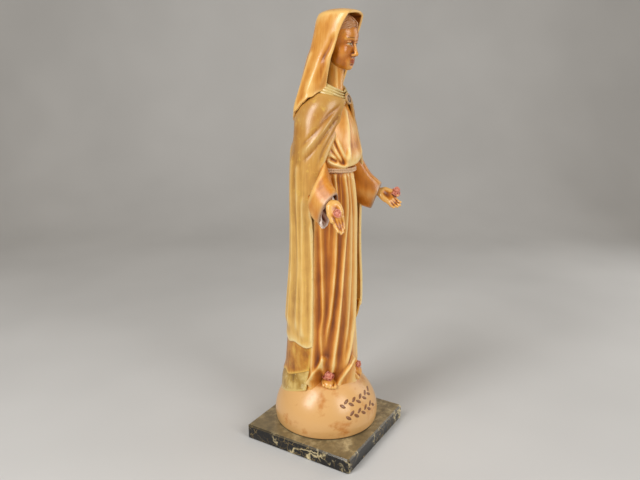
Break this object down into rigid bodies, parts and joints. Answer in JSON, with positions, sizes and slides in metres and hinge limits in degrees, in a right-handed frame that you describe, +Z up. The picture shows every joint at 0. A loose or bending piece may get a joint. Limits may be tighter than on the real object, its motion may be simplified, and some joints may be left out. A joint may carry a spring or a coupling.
{
  "type": "madonna statue",
  "caption": "Painted plaster statue of a robed, veiled woman with open hands, standing on a rounded mound bolted to a square marble plinth.",
  "frame": {"origin": "centre of the plinth's underside, on the surface it stands on", "axes": "+Z up, -Y the way the figure faces, +X towards the figure's own left hand"},
  "size_m": [0.15, 0.15, 0.5258],
  "materials": {
    "felt": "pressed wool felt",
    "marble": "polished black marble with cream and gold veins",
    "steel": "zinc-plated mild steel",
    "iron": "black annealed iron wire",
    "hardwood": "planed beech",
    "mound_paint": "cast plaster, flesh-orange glaze under wax",
    "robe_paint": "cast plaster, amber glaze wiped from cream ridges",
    "mantle_paint": "cast plaster, olive and ochre glaze with worn gold",
    "veil_paint": "cast plaster, honey glaze under wax",
    "skin_paint": "cast plaster, warm flesh glaze",
    "hair_paint": "cast plaster, chestnut glaze",
    "belt_paint": "cast plaster, grey-rose glaze",
    "linen_paint": "cast plaster, pale rose-white glaze",
    "gold_paint": "cast plaster, olive-gold glaze",
    "rose_paint": "cast plaster, rose-red glaze"
  },
  "bodies": {
    "root": {"felt_base": "felt", "marble_plinth": "marble", "plinth_bolt": "steel", "bolt_washer": "steel", "anchor_plug": "hardwood", "mound": "mound_paint", "body_armature": "steel", "right_arm_wire": "iron", "left_arm_wire": "iron", "robe_skirt": "robe_paint", "robe_bodice": "robe_paint", "belt": "belt_paint", "right_sleeve": "robe_paint", "left_sleeve": "robe_paint", "right_undersleeve": "linen_paint", "left_undersleeve": "linen_paint", "mantle": "mantle_paint", "mantle_underlayer": "mantle_paint", "mantle_hem": "mantle_paint", "collar": "gold_paint", "brooch": "gold_paint", "neck": "skin_paint", "head": "skin_paint", "hair": "hair_paint", "veil": "veil_paint", "right_hand": "skin_paint", "left_hand": "skin_paint", "right_hand_rose": "rose_paint", "left_hand_rose": "rose_paint", "right_foot": "skin_paint", "left_foot": "skin_paint", "right_foot_rose": "rose_paint", "left_foot_rose": "rose_paint"}
  },
  "joints": []
}
